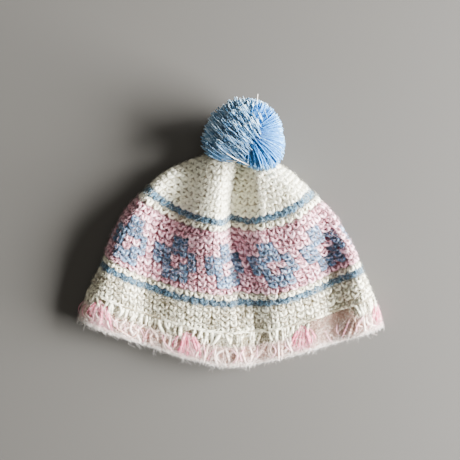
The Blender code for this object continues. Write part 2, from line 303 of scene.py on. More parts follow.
# Soft wool, cut: painted shade dark down between the strands. The right lobe lies combed and has
# its own copy of the wool, a purer blue with less shade, for its lit side: painted light.
pompomYarn = yarnMaterial("lightBlueWool", "pompom_yarn", "2d6288", "639cc6", "cbe6f6")
rightLobeYarn = yarnMaterial("lightBlueWoolCombedPaintedLit", "pompom_yarn", "2a74b6", "3a8ccc", "98cef0",
                             sheen=0.1)


# A new object in the scene.
def addObject(name, data):
    thing = bpy.data.objects.new(name, data)
    bpy.context.scene.collection.objects.link(thing)
    return thing


# A mesh from points and groups of faces with equal numbers of corners, placed on the hat's body.
def addPiece(name, points, groups, yarn, nodes, tone=None):
    material, slotName = yarn
    mesh = bpy.data.meshes.new(name)
    groups = [group for group in groups if len(group)]
    corners = np.concatenate([group.ravel() for group in groups]).astype(np.int32)
    totals = np.concatenate([np.full(len(group), group.shape[1]) for group in groups])
    starts = np.concatenate([[0], np.cumsum(totals)[:-1]]).astype(np.int32)
    mesh.vertices.add(len(points))
    mesh.vertices.foreach_set("co", points.astype(np.float32).ravel())
    mesh.loops.add(len(corners))
    mesh.loops.foreach_set("vertex_index", corners)
    mesh.polygons.add(len(totals))
    mesh.polygons.foreach_set("loop_start", starts)
    mesh.polygons.foreach_set("use_smooth", np.ones(len(totals), bool))
    mesh.update(calc_edges=True)
    if tone is not None:
        attribute = mesh.attributes.new("tone", "FLOAT", "POINT")
        attribute.data.foreach_set("value", tone.astype(np.float32))
    mesh.materials.append(material)
    piece = addObject(name, mesh)
    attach(piece, "root")
    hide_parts(*nodes)
    print(name, "triangles", int((totals - 2).sum()))


# Points held at least at a height over the floor.
def overFloor(points, height=0.02 * mm):
    points[..., 2] = np.maximum(points[..., 2], height)
    return points


# Faces between closed rings of points and the rings after them.
def between(low, high):
    return np.stack([low, np.roll(low, -1, -1), np.roll(high, -1, -1), high], -1).reshape(-1, 4)


# Tubes along many paths at once. path: tubes x points x 3. A ring stands square to the path at
# each point. Twisted plies raise it: radius x (1 + ply cos(2 angle - twist run)).
def tubes(path, radius, up, sides, ply=0.0, twist=0.0, closed=False):
    count, steps = path.shape[:2]
    if closed:
        around = np.concatenate([path[:, -1:], path, path[:, :1]], axis=1)
        tangent = np.gradient(around, axis=1)[:, 1:-1]
    else:
        tangent = np.gradient(path, axis=1)
    tangent = unit(tangent)
    side = unit(np.cross(tangent, up))
    high = np.cross(side, tangent)
    angle = tau * np.arange(sides) / sides
    lobes = 1 + ply * np.cos(2 * angle - (twist * runAlong(path))[..., None])
    reach = np.broadcast_to(radius, (count, steps))[..., None] * lobes
    ring = side[:, :, None] * np.cos(angle)[:, None] + high[:, :, None] * np.sin(angle)[:, None]
    points = (path[:, :, None] + ring * reach[..., None]).reshape(-1, 3)
    number = np.arange(count * steps * sides).reshape(count, steps, sides)
    caps = np.concatenate([number[:, 0, ::-1], number[:, -1]])
    if closed:
        number, caps = np.concatenate([number, number[:, :1]], axis=1), caps[:0]
    return points, [between(number[:, :-1], number[:, 1:]), caps]


# Several sets of tubes as one.
def joined(parts):
    points, groups, before = [], [], 0
    for found, faces in parts:
        points.append(found)
        groups += [group + before for group in faces]
        before += len(found)
    return np.concatenate(points), groups


# Shapes of the stitches, in the same terms. A stitch is a V of two legs, with a bar of its yarn
# behind them.
stitch = {
    "radius": 1.20 * mm,
    "height": 0.66 * hat["round"],
    "spread": 0.42,  # how far the legs stand out, in widths of a stitch
    "curl": 0.25,  # how far their tops turn back in, to a closed loop
    "legRise": 0.75 * mm,
    "sink": 1.45,  # how deep their ends lie, in radii
    "taper": 0.20,
    "bar": 0.64 * hat["round"],  # height of the bar over the point of the V
    "barRadius": 1.20 * mm,
    "barLift": -1.85 * mm,
    "barUneven": 0.15 * mm,
    "uneven": 0.10,
    "rough": 0.08 * mm,
    "shade": 0.9,  # painted highlight on a strand's outer side and painted shade within, in tone
    "tones": 0.4,  # how far stitches differ in tone, and
    "flecks": 0.12,  # the parts of one
}
stripeStitch = {**stitch, "radius": 1.55 * mm, "height": 1.00 * hat["round"]}
flowerStitch = {**stitch, "radius": 1.36 * mm, "barRadius": 1.70 * mm, "barLift": -2.0 * mm}


# Stitches of one round: each is a V whose point lies towards the rim, its legs bowed up as
# sin(pi |t|^0.8). At t from -1 to 1 along its yarn it stands |t|^1.1 high and |t|^0.75 out from
# its middle; curled, (1/2 - cos(pi t)/2)^0.8 high and sin(pi |t|)^0.85 out, which closes it.
# low: height of the points; places: middles, as shares around; width: of a stitch.
def stitchRound(form, low, places, width, steps):
    uneven, curl, taper = form["uneven"], form["curl"], form["taper"]
    draw = lambda size: size * rng.normal(size=(len(places), 1))
    t = np.linspace(-1, 1, steps)
    climb = (1 - curl) * np.abs(t) ** 1.1 + curl * (0.5 - 0.5 * np.cos(math.pi * t)) ** 0.8
    across = (1 - curl) * np.abs(t) ** 0.75 + curl * np.sin(math.pi * np.abs(t)).clip(0) ** 0.85
    across = form["spread"] * np.sign(t) * across
    bow = np.sin(math.pi * np.abs(t) ** 0.8)
    along = low + form["height"] * (climb * (1 + draw(0.5 * uneven)) + draw(0.4 * uneven))
    around = places[:, None] + width * (across * (1 + draw(uneven)) + draw(0.4 * uneven))
    lift = -form["radius"] * form["sink"] + form["legRise"] * bow * (1 + draw(2 * uneven))
    path, up = onHat(along, around, lift)
    path += rng.normal(0, form["rough"], path.shape)
    radius = form["radius"] * (1 - taper + taper * bow) * (1 + draw(uneven))
    radius = radius * (1 + uneven * rng.normal(size=radius.shape))
    return path, up, radius


# Middles of a round's stitches. Each round sits a little to the left of the one below it.
def placesOf(count, along, phase=0.0, aside=0.3 * mm):
    turned = aside * along / hat["round"] / roundLength(along)
    return np.mod((np.arange(count) + 0.5 + phase) / count - turned, 1)


# Tones of tubes at their middles and at all their points: each tube differs from the others, and
# has a painted highlight outside and painted shade within, as shade x sin(angle).
def tonesOf(form, lightness, count, steps, sides):
    tone = lightness + rng.uniform(-form["tones"], form["tones"], (count, 1))
    tone = tone + rng.normal(0, form["flecks"], (count, steps))
    shade = form["shade"] * np.sin(tau * np.arange(sides) / sides)
    return tone, (tone[..., None] + shade).ravel()


# One piece from rounds of stitches (low, places, width), each with its bar from one neighbour to
# the other.
def stitchPiece(name, form, rounds, yarn, nodes, lightness, steps=12, sides=5):
    parts, tones = [], []
    bar, barSides = np.array([-0.5, 0.0, 0.5]), 4
    for low, places, width in rounds:
        path, up, radius = stitchRound(form, low, places, width, steps)
        parts.append(tubes(path, radius, up, sides, ply=0.16, twist=1.3 / mm))
        tone, shaded = tonesOf(form, lightness, len(path), steps, sides)
        tones.append(shaded)
        level = low + form["bar"] + rng.normal(0, form["barUneven"], (len(places), 1))
        path, up = onHat(level, places[:, None] + width * bar, form["barLift"])
        parts.append(tubes(path, form["barRadius"], up, barSides))
        # the bar behind the legs is painted darker in tone: painted shade
        tones.append(np.repeat(tone[:, 0] - 0.2 * form["shade"], len(bar) * barSides))
    points, groups = joined(parts)
    tones = np.concatenate(tones)
    addPiece(name, overFloor(points), groups, yarn, nodes, tones)


# Loose fibres. Pairs are limits between which each fibre's own value is drawn.
fibre = {
    "radius": 0.06 * mm,
    "taper": 0.75,
    "root": -0.6 * mm,
    "reach": (0.4, 1.2),
    "rise": (0.2, 1.2),
    "arch": (1.0, 2.6),  # past a quarter turn, it comes down again
    "astray": 0.5,  # how far off its heading it starts, in radians
    "waver": 0.9,  # how far it turns on its way
}


# Loose fibres of the wool, each a thin tapered tube: it leaves the yarn and bends over the fabric.
# At t along it, it is t x length from its root and rise x sin(arch t) over it.
# heading is its direction on the hat, 0 towards the pompom and a quarter turn to the right.
def fibrePiece(name, low, high, count, length, rise, yarn, nodes, heading=None,
               radius=fibre["radius"]):
    t, sides = np.array([0, 0.55, 1]), 3
    draw = lambda least, most: rng.uniform(least, most, (count, 1))
    along, around = draw(low, high), draw(0, 1)
    angle = draw(0, tau) if heading is None else rng.normal(heading, fibre["astray"], (count, 1))
    angle = angle + rng.normal(0, fibre["waver"], (count, 1)) * t
    reach = length * draw(*fibre["reach"]) * t
    lift = fibre["root"] + rise * draw(*fibre["rise"]) * np.sin(t * draw(*fibre["arch"]))
    aside = reach * np.sin(angle) / roundLength(along)
    path, up = onHat(along + reach * np.cos(angle), around + aside, lift)
    radius = radius * (1 - fibre["taper"] * t[None] ** 2)
    points, groups = tubes(overFloor(path, 0.1 * mm), radius, up, sides)
    tones = np.repeat(rng.uniform(0, 1, count), len(t) * sides)
    addPiece(name, points, groups, yarn, nodes, tones)


# Short fibres, in the same terms.
haze = {
    "radius": 0.09 * mm,
    "root": (-0.8, 0.1),  # in millimetres over the skin
    "reach": (0.5, 1.2),
    "rise": (0, 1.0),
    "astray": (1.3 * mm, 1.6 * mm),  # from its place, up the hat and round it
    "tones": (-0.2, 0.8),
}


# The wool's haze: short straight fibres, each a slender closed spike of four faces that rises from
# the yarn in any direction. where: from which height to which all round, or places (height, share
# around) that they stand close to.
def hazePiece(name, where, count, length, rise, yarn, nodes, radius=haze["radius"],
              lightness=0.0):
    if len(where) == 2:
        along, around = rng.uniform(*where, count), rng.uniform(0, 1, count)
    else:
        along, around = rng.permutation(np.tile(where, (count // len(where), 1))).T
        count = len(along)
        along = along + rng.normal(0, haze["astray"][0], count)
        around = around + rng.normal(0, haze["astray"][1], count) / roundLength(along)
    angle = rng.uniform(0, tau, count)
    reach = length * rng.uniform(*haze["reach"], count)
    root, up = onHat(along, around, rng.uniform(*haze["root"], count) * mm)
    aside = reach * np.sin(angle) / roundLength(along)
    lift = rise * rng.uniform(*haze["rise"], count)
    end, _ = onHat(along + reach * np.cos(angle), around + aside, lift)
    heading = unit(end - root)
    side = unit(np.cross(heading, up))
    over = np.cross(side, heading)
    corners = [root + radius * (np.cos(a) * side + np.sin(a) * over)
               for a in (0.5, 0.5 + tau / 3, 0.5 - tau / 3)]
    points = np.stack([*corners, end], 1).reshape(-1, 3)
    number = 4 * np.arange(count)[:, None, None]
    faces = number + np.array([(0, 2, 1), (0, 1, 3), (1, 2, 3), (2, 0, 3)])
    tones = np.repeat(lightness + rng.uniform(*haze["tones"], count), 4)
    points = overFloor(points, 0.05 * mm)
    addPiece(name, points, [faces.reshape(-1, 3)], yarn, nodes, tones)


lining = {
    "step": 1.5 * mm,
    "depth": 1.9 * mm,
    "ridge": 0.35 * mm,
}


# A band's lining: the fabric behind the stitches, between two inner skins of the hat, closed at
# both ends. Its inside is raised by ridge x cos(rounds) x (0.6 + 0.4 cos(stitches)). Its outer side
# takes the given tone, a painted shade that darkens the holes between the stitches.
def backing(name, low, high, count, yarn, nodes, tone, depth=lining["depth"]):
    rows, columns = max(2, int(round((high - low) / lining["step"]))), 3 * count
    level = np.linspace(low, high, rows + 1)
    around = np.arange(columns) / columns
    ridge = lining["ridge"] * np.cos(tau * (level[:, None] - low) / hat["round"])
    ridge = ridge * (0.6 + 0.4 * np.cos(tau * around * count))
    outer = onHat(level[:, None], around, -depth)[0]
    inner = onHat(level[:, None], around, -hat["wall"] + ridge)[0]
    points = np.concatenate([outer.reshape(-1, 3), inner.reshape(-1, 3)])
    out, within = np.arange(len(points)).reshape(2, rows + 1, columns)
    quads = [between(out[:-1], out[1:]), between(within[:-1], within[1:])[:, ::-1],
             between(out[0], within[0])[:, ::-1], between(out[-1], within[-1])]
    tones = np.repeat([tone, 0.0], len(points) // 2)
    addPiece(name, points, quads, yarn, nodes, tones)


# Bands above the edging: name, node, rounds, yarn, stitches in a round; then how light the stitches
# are, depth (mm) and tone of the lining behind them and how thickly loose fibres stand. The
# lining's tone is painted shade in the holes between the stitches; the cream's lightness is painted
# light and shade, the same yarn drawn lighter on the crown and darker in the lower band.
bands = (
    ("lowerBand", "lower_band", 4, creamYarn, 76, -0.7, 2.1, -2.2, 1.0),
    ("lowerStripe", "lower_stripe", 1, blueYarn, 68, -1.15, 1.9, -1.6, 2.0),
    ("lowerCreamRound", "lower_cream_round", 1, creamYarn, 66, -0.45, 1.9, -1.6, 1.0),
    ("motifBand", "motif_band", 10, pinkYarn, 66, -0.40, 2.1, -1.9, 0.9),
    ("upperCreamRound", "upper_cream_round", 1, creamYarn, 54, -0.35, 1.9, -1.6, 1.0),
    ("upperStripe", "upper_stripe", 1, blueYarn, 50, -1.0, 1.9, -1.6, 2.0),
    ("crown", "crown", 11, creamYarn, 0, 0.35, 1.5, -0.9, 2.0),
)

# The crown has as many stitches in a round as fit.
crown = {
    "stitchWidth": 5.2 * mm,
    "leastStitches": 7,
    "liningStitches": 32,
}

# The flower, one letter a stitch, from the top round down: b is worked in blue, a dot in pink.
flowerChart = (
    "......",
    "......",
    "..bb..",
    "..bb..",
    "bbbbb.",
    "bb..b.",
    "bb.bb.",
    ".bbb..",
    ".bbb..",
    "......",
)

flower = {
    "repeats": 11,
    "phase": 2.45,  # stitches by which the row of flowers is turned round the hat
    "lightness": -0.5,
}

fuzz = {
    "perArea": 0.16 / mm**2,  # loose fibres
    "length": 5.0 * mm,
    "rise": 2.2 * mm,
    "hazePerStitch": 17,  # short fibres
    "hazeHeight": 0.4,  # where they stand on a stitch, in rounds
    "hazeLength": 2.6 * mm,
    "hazeRise": 1.3 * mm,
}


# The bands from the edging up: rounds of stitches with the flowers worked in, haze at each stitch,
# the lining behind and loose fibres over them.
def makeBands():
    level = edgingTop
    for name, node, count, yarn, perRound, lightness, depth, tone, density in bands:
        rounds, flowers = [], []
        hasFlowers = node == "motif_band"
        for turn in range(count):
            low = level + turn * hat["round"]
            middle = low + hat["round"] / 2
            fitting = int(round(roundLength(middle) / crown["stitchWidth"]))
            across = perRound or max(crown["leastStitches"], fitting)
            places = placesOf(across, middle, flower["phase"] if hasFlowers else 0.0)
            letters = flowerChart[-1 - turn] * flower["repeats"] if hasFlowers else "." * across
            blue = np.array(list(letters)) == "b"
            rounds.append((low, places[~blue], 1 / across))
            if blue.any():
                flowers.append((low, places[blue], 1 / across))
        form = stripeStitch if yarn == blueYarn else stitch
        worked = [(name, form, rounds, yarn, lightness)]
        if flowers:
            worked.append(("flower", flowerStitch, flowers, flowerYarn, flower["lightness"]))
        for part, form, stitches, wool, light in worked:
            stitchPiece(part + "Stitches", form, stitches, wool, [node], light)
            where = np.array([(low + fuzz["hazeHeight"] * hat["round"], place)
                              for low, places, _ in stitches for place in places])
            hazePiece(part + "Haze", where, int(density * fuzz["hazePerStitch"]) * len(where),
                      fuzz["hazeLength"], fuzz["hazeRise"], wool, [node])
        high = min(level + count * hat["round"], alongs[-1])
        backing(name + "Backing", level, high, perRound or crown["liningStitches"], yarn, [node],
                tone, depth * mm)
        area = (high - level) * roundLength((level + high) / 2)
        fibrePiece(name + "Fluff", level, high, int(density * fuzz["perArea"] * area),
                   fuzz["length"], fuzz["rise"], yarn, [node])
        level = level + count * hat["round"]
    print("bands worked up to", round(level / mm), "mm")


makeBands()

# The edging. Its strands: how high they start and end, thickness, how far they bow up, lean and
# bend to a side, the power by which they spread, how much higher those end that spread far, how
# many, which end stays how far from the fans' middles, and how far they sway to alternate sides.
edge = {
    "fans": (0.0475, 0.185, 0.3615, 0.491, 0.6175, 0.770, 0.9225),  # middles, shares of the round
    "fanStrands": 9,
    "fanFoot": 4.0 * mm,  # width at its top, and
    "fanSpread": 21.0 * mm,  # at the rim
    "fanHaze": ((5, -5), (5, 0), (5, 5), (10, -2.5), (10, 2.5), (15, 0)),  # places on a fan, in mm
    "fan": {"high": 19.5 * mm, "low": 2.6 * mm, "radius": 1.30 * mm, "rise": 1.7 * mm,
            "lean": 0.6 * mm, "bend": 0.7 * mm, "flare": 0.65, "round": 0.030 / mm,
            "lightness": -0.8},
    "cream": {"high": 25.6 * mm, "low": 15.2 * mm, "radius": 1.25 * mm, "rise": 1.3 * mm,
              "lean": 2.8 * mm, "bend": 1.0 * mm, "flare": 1.0, "round": 0, "count": 210,
              "clear": ("high", 3.4 * mm), "sway": 1.4 * mm, "lightness": -0.5},
    "pale": {"high": 14.6 * mm, "low": 1.6 * mm, "radius": 0.90 * mm, "rise": 1.3 * mm,
             "lean": 3.4 * mm, "bend": 2.8 * mm, "flare": 1.0, "round": 0, "count": 170,
             "clear": ("low", 8.0 * mm), "sway": 3.4 * mm, "lightness": -0.3},
    "thin": {"high": 13.5 * mm, "low": 2.5 * mm, "radius": 0.32 * mm, "rise": 2.0 * mm,
             "lean": 4.0 * mm, "bend": 2.5 * mm, "flare": 1.0, "round": 0, "count": 48,
             "clear": ("low", 6.0 * mm), "sway": 4.0 * mm, "lightness": 0.6},
    "brushed": (0.372, 0.440),  # stretch of the round that is brushed smooth
    "brushedUp": (5 * mm, 22.5 * mm),
    "paleLining": (0.8 * mm, 13.5 * mm),  # the cream one goes on from it
}

# What its strands share.
strand = {
    "sink": -1.5,  # lift of the ends, in radii
    "taper": 0.4,
    "ends": (0.8 * mm, 1.3 * mm),  # how uneven the tops and the feet are
    "bow": 0.2,  # how uneven the bows are, and
    "thickness": 0.15,  # their radii
    "shade": 0.7,  # painted highlight and shade, as in a stitch
    "tones": 0.5,
    "flecks": 0.2,
}


# One piece of single strands that hang towards the rim. At a share t from its top a strand lies
# feet x t^flare + bend x sin(pi t) to the right of it, and bows up as sin(pi t)^0.6; strands that
# spread far end higher, by round x feet^2.
def strandPiece(name, form, places, feet, yarn, nodes, steps=9, sides=6):
    count, taper = len(places), strand["taper"]
    draw = lambda size: size * rng.normal(size=(count, 1))
    t = np.linspace(0, 1, steps)
    feet = feet[:, None] + draw(form["lean"])
    high = form["high"] + draw(strand["ends"][0])
    low = form["low"] + form["round"] * feet**2 + draw(strand["ends"][1])
    along = high - (high - low) * t
    right = feet * t ** form["flare"] + draw(form["bend"]) * np.sin(math.pi * t)
    bow = np.sin(math.pi * t).clip(0) ** 0.6
    lift = strand["sink"] * form["radius"] + form["rise"] * bow * (1 + draw(strand["bow"]))
    path, up = onHat(along, places[:, None] + right / roundLength(along), lift)
    radius = form["radius"] * (1 - taper + taper * bow) * (1 + draw(strand["thickness"]))
    points, groups = tubes(path, radius, up, sides, ply=0.14, twist=1.2 / mm)
    _, tones = tonesOf(strand, form["lightness"], count, steps, sides)
    addPiece(name, overFloor(points), groups, yarn, nodes, tones)


chain = {
    "links": 76,
    "long": 1.25,  # how far a link runs, and
    "back": 0.45,  # how far back it starts, in links
    "open": 0.6 * mm,
    "lift": -0.2 * mm,
    "bow": 0.5 * mm,
    "radius": 0.55 * mm,
    "tones": (-0.8, 0.3),
}


# The chain along the top of the edging. At t from -1 to 1 along its yarn, a link lies
# (long |t|^1.1 - back) links to the right, sign(t) |t|^0.75 x open up and bow x sin(pi |t|) out.
def makeChain(nodes, steps=13, sides=5):
    places = placesOf(chain["links"], edgingTop)
    t = np.linspace(-1, 1, steps)
    across = (chain["long"] * np.abs(t) ** 1.1 - chain["back"]) / chain["links"]
    along = edgingTop - chain["open"] + chain["open"] * np.sign(t) * np.abs(t) ** 0.75
    lift = chain["lift"] + chain["bow"] * np.sin(math.pi * np.abs(t))
    path, up = onHat(along + 0 * places[:, None], places[:, None] + across, lift)
    points, groups = tubes(path, chain["radius"], up, sides, ply=0.12, twist=1.4 / mm)
    tones = np.repeat(rng.uniform(*chain["tones"], len(places)), steps * sides)
    addPiece("chainLine", overFloor(points), groups, creamYarn, nodes, tones)


rim = {
    "strands": (  # name, height, lift, radius and phase of its waves
        ("rimStrandOuter", 0.7 * mm, -1.1 * mm, 0.50 * mm, 0.0),
        ("rimStrandInner", 0.8 * mm, -2.2 * mm, 0.9 * mm, 2.0),
    ),
    "waves": (71, 29),  # in a round
    "sway": (0.35 * mm, 0.2 * mm),  # along the hat and off it
    "swell": 0.15,
}


# The strands of the rim: closed tubes round the hat that sway, swell and pale by a wave of
# sin(71 turns + phase) + 0.6 sin(29 turns + 2 phase).
def makeRimStrands(steps=420, sides=8):
    around = np.arange(steps) / steps
    first, second = rim["waves"]
    for name, level, lift, radius, phase in rim["strands"]:
        wave = np.sin(tau * first * around + phase)
        wave = wave + 0.6 * np.sin(tau * second * around + 2 * phase)
        lift = lift + rim["sway"][1] * np.cos(tau * first * around)
        path, up = onHat(level + rim["sway"][0] * wave, around, lift)
        radius = radius * (1 + rim["swell"] * wave[::-1])
        points, groups = tubes(path[None], radius, up[None], sides, ply=0.08, twist=1.5 / mm,
                               closed=True)
        tones = np.repeat(0.6 * wave, sides)
        addPiece(name, overFloor(points), groups, palePinkYarn, ["rim_edging"], tones)


# Fibres over the edging: how many, how long and how far they rise.
edgeFuzz = {
    "creamStrandHaze": (4500, 3.2 * mm, 1.6 * mm),
    "paleStrandHaze": (6500, 3.6 * mm, 1.8 * mm),
    "brushedShadeHaze": (2800, 4.0 * mm, 0.9 * mm),
    "fanHaze": (2500, 4.0 * mm, 2.4 * mm),
    "rimHaze": (5000, 2.6 * mm, 1.6 * mm),
    "rimFluff": (1500, 5.0 * mm, 2.2 * mm),
    "paleFluff": (1600, 8.0 * mm, 2.8 * mm),
    "edgingFluff": (900, 4.5 * mm, 2.0 * mm),
}


# Haze over the strands, thicker where the edging is brushed and at the fans; then loose fibres. The
# haze on the brushed stretch is painted dark, as shade.
def makeEdgeFuzz(shells, fans):
    hazePiece("creamStrandHaze", (13 * mm, edgingTop), *edgeFuzz["creamStrandHaze"],
              creamYarn, shells)
    hazePiece("paleStrandHaze", (1 * mm, 14 * mm), *edgeFuzz["paleStrandHaze"],
              palePinkYarn, shells)
    smooth = [rng.uniform(*edge[limits], 700) for limits in ("brushedUp", "brushed")]
    # lightness -1.5: painted shade over the brushed stretch
    hazePiece("brushedShadeHaze", np.stack(smooth, 1), *edgeFuzz["brushedShadeHaze"], palePinkYarn, shells,
              radius=0.13 * mm, lightness=-1.5)
    over = [(height * mm, place + side * mm / roundLength(height * mm))
            for place in edge["fans"] for height, side in edge["fanHaze"]]
    hazePiece("fanHaze", np.array(over), *edgeFuzz["fanHaze"], fanYarn, fans)
    hazePiece("rimHaze", (-0.3 * mm, 2.0 * mm), *edgeFuzz["rimHaze"], rimYarn, ["rim_edging"])
    fibrePiece("rimFluff", -0.3 * mm, 4.5 * mm, *edgeFuzz["rimFluff"], rimYarn, ["rim_edging"])
    fibrePiece("paleFluff", 2 * mm, 12 * mm, *edgeFuzz["paleFluff"], palePinkYarn, shells,
               heading=0.0, radius=0.07 * mm)
    fibrePiece("edgingFluff", 9 * mm, edgingTop, *edgeFuzz["edgingFluff"], creamYarn, shells)


# The edging: a chain along its top, cream strands that hang from it in pairs, pale strands that
# cross below them, pink fans over both, and a thin brushed rim.
def makeEdging():
    shells = ["cream_shell_%d" % i for i in range(1, 8)]
    fans = ["pink_fan_%d" % i for i in range(1, 8)]
    fanAt = np.array(edge["fans"])
    makeChain(shells)

    # rows of strands, but for those close to a fan's middle or in an empty stretch
    for name, empty, yarn in (
        ("cream", edge["brushed"], creamYarn),
        ("pale", edge["brushed"], palePinkYarn),
        ("thin", (0, 0), fanYarn),
    ):
        form = edge[name]
        end, clear = form["clear"]
        places = np.arange(form["count"]) / form["count"]
        away = np.abs(np.mod(places[:, None] - fanAt + 0.5, 1) - 0.5).min(axis=1)
        beside = (places <= empty[0]) | (places >= empty[1])
        places = places[beside & (away * roundLength(form[end]) > clear)]
        feet = form["sway"] * (-1.0) ** np.arange(len(places))
        strandPiece(name + "Strands", form, places, feet, yarn, shells)

    top = np.linspace(-0.5, 0.5, edge["fanStrands"])
    places = fanAt[:, None] + top * edge["fanFoot"] / roundLength(20 * mm)
    feet = np.tile(top * (edge["fanSpread"] - edge["fanFoot"]), len(fanAt))
    strandPiece("fanStrands", edge["fan"], places.ravel(), feet, fanYarn, fans)
    makeRimStrands()
    nodes, low, middle = shells + fans + ["rim_edging"], *edge["paleLining"]
    # both edging linings are painted dark in tone: painted shade in the holes between the strands
    backing("paleBacking", low, middle, chain["links"], palePinkYarn, nodes, -1.2)
    backing("creamBacking", middle, edgingTop, chain["links"], creamYarn, nodes, -1.3)
    makeEdgeFuzz(shells, fans)
    print("edging worked up to", round(edgingTop / mm), "mm")


makeEdging()

pompom = {
    "strands": (2200, 2300, 900),  # of the left lobe, the right lobe and underneath
    "steps": 7,
    "ball": 27.6 * mm,
    "core": 17.0 * mm,
    "overFloor": 0.8 * mm,
    "uneven": (0.8, 1.2),  # of their thickness and comb
    "stray": (0.10, 0.05),  # of falling strands, round the pole and from it, in radians
}

# The left lobe, combed to one side of the parting. ways: the way that the strands are combed
# (degrees), by the share along the parting.
combed = {
    "parting": ((-5 * mm, -19 * mm), (11 * mm, 11 * mm)),  # its ends in plan, from the middle
    "ways": ((-0.2, 150), (0.2, 141), (0.6, 132), (0.85, 120), (1.05, 107), (1.25, 94), (1.5, 70)),
    "reach": (1.06, 0.34),  # of the outermost strands, and what the innermost have less
    "across": -1.5 * mm,  # how far over the parting they may end
    "lowest": -14 * mm,
    "uneven": (0.06, 6),  # of their places on the parting and of their ways, in degrees
    "tipRise": (10, 7),  # over the plane, in degrees, and how much it differs
    "roots": (-9, 1),  # in millimetres over the ball's middle
    "bend": (16 * mm, 0.7),  # how far behind the tip, and the most, of the strand
}

# How far the strands reach, as a share of the ball, by their direction in plan (degrees, to the
# right at 0): short over the crown at the left, long where they spread down over it at the right.
pompomReach = np.array([
    (0, 0.97), (25, 0.93), (45, 0.89), (60, 0.87), (75, 0.84), (90, 0.85), (100, 0.88), (120, 0.86),
    (135, 0.86), (150, 0.90), (165, 0.95), (180, 1.01), (190, 1.05), (205, 1.10), (213, 1.05),
    (222, 0.78), (232, 0.70), (250, 0.68), (275, 0.80), (300, 1.08), (318, 1.20), (335, 1.10),
    (360, 0.97),
])

pompomMiddle = np.array(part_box("pompom")).mean(axis=0)


# How far strands that end in a direction reach, from the table of bearings; the share is full in
# the plane of the floor and fades upwards as the square of the direction's part in that plane.
def reachOf(heading):
    x, y, _ = heading.T
    flat = np.hypot(x, y)
    bearing = np.mod(np.degrees(np.arctan2(y, x)), 360)
    return pompom["ball"] * (1 + (np.interp(bearing, *pompomReach.T) - 1) * flat**2)


# One piece of strands along paths from the ball's middle. Towards their cut ends they thicken, as
# 0.9 + 0.25 t^4, and pale from the first tone to the second, as t^fade: their roots deep in the
# ball are painted shade.
def pompomPiece(name, path, yarn, thickness, tones, fade, varied=0.35, sides=3):
    path = overFloor(pompomMiddle + path, pompom["overFloor"])
    t = np.linspace(0, 1, path.shape[1])
    thick = thickness * rng.uniform(*pompom["uneven"], (len(path), 1)) * (0.9 + 0.25 * t**4)
    points, groups = tubes(path, thick, pompomMiddle - path, sides)
    tone = tones[0] + (tones[1] - tones[0]) * t**fade + rng.normal(0, varied, (len(path), 1))
    tones = np.repeat(tone.ravel(), sides)
    addPiece(name, points, groups, yarn, ["pompom"], tones)


# Strands that fall outwards from a pole: at a share t the angle from the pole is
# (end angle) x t^comb, and the distance from the middle is (length) x (1 - (1 - t)^rise).
# turns and angles: limits of their directions round the pole and from it, in degrees.
def fallingStrands(count, pole, turns, angles, comb, rise, lengths):
    draw = lambda least, most: rng.uniform(least, most, (count, 1))
    waver = lambda size: size * rng.normal(size=(count, 1))
    strayTurn, strayAngle = pompom["stray"]
    pole = np.array(pole) / np.linalg.norm(pole)
    right = np.cross([0.0, 1.0, 0.0], pole)
    right /= np.linalg.norm(right)
    ahead = np.cross(pole, right)
    t = np.linspace(0.05, 1, pompom["steps"])
    turn = np.radians(draw(*turns)) + waver(strayTurn) * t
    low, high = np.cos(np.radians(angles))
    end = np.arccos(low + (high - low) * draw(0, 1))
    angle = end * t ** (comb * draw(*pompom["uneven"])) + waver(strayAngle) * t
    plan = np.cos(turn)[..., None] * right + np.sin(turn)[..., None] * ahead
    heading = np.cos(angle)[..., None] * pole + np.sin(angle)[..., None] * plan
    reach = draw(*lengths) * reachOf(heading[:, -1])[:, None] * (1 - (1 - t) ** rise)
    return reach[..., None] * heading


# Strands combed to one side of the parting. Each ends on the ball and runs there from a place on
# the parting as (1 - t)^2 root + 2 t (1 - t) bend + t^2 end; the bend lies behind the end, against
# the way that the strands are combed there.
def combedStrands(count):
    start, stop = np.array(combed["parting"])
    length = np.linalg.norm(stop - start)
    ahead = (stop - start) / length
    aside = np.array([-ahead[1], ahead[0]])
    heading = rng.normal(size=(6 * count, 3))  # many are left out below
    heading /= np.linalg.norm(heading, axis=1, keepdims=True)
    outermost, less = combed["reach"]
    depth = rng.uniform(0, 1, len(heading)) ** 0.8
    end = heading * (reachOf(heading) * (outermost - less * depth))[:, None]
    side = (end[:, :2] - start) @ aside
    end = end[(side > combed["across"]) & (end[:, 2] > combed["lowest"])][:count]
    placeUneven, wayUneven = combed["uneven"]
    share = (end[:, :2] - start) @ ahead / length + rng.normal(0, placeUneven, len(end))
    way = np.interp(share, *np.array(combed["ways"]).T) + rng.normal(0, wayUneven, len(end))
    way = np.radians(way)
    rise = np.radians(rng.normal(*combed["tipRise"], len(end)))
    toTip = np.stack([np.cos(rise) * np.cos(way), np.cos(rise) * np.sin(way), np.sin(rise)], -1)
    root = np.concatenate([start + np.clip(share, 0, 1)[:, None] * length * ahead,
                           rng.uniform(*combed["roots"], (len(end), 1)) * mm], axis=1)
    behind, most = combed["bend"]
    back = np.minimum(behind, most * np.linalg.norm(end - root, axis=1))
    bend = end - back[:, None] * toTip
    t = np.linspace(0.1, 1, pompom["steps"])[:, None]
    return (1 - t) ** 2 * root[:, None] + 2 * t * (1 - t) * bend[:, None] + t**2 * end[:, None]


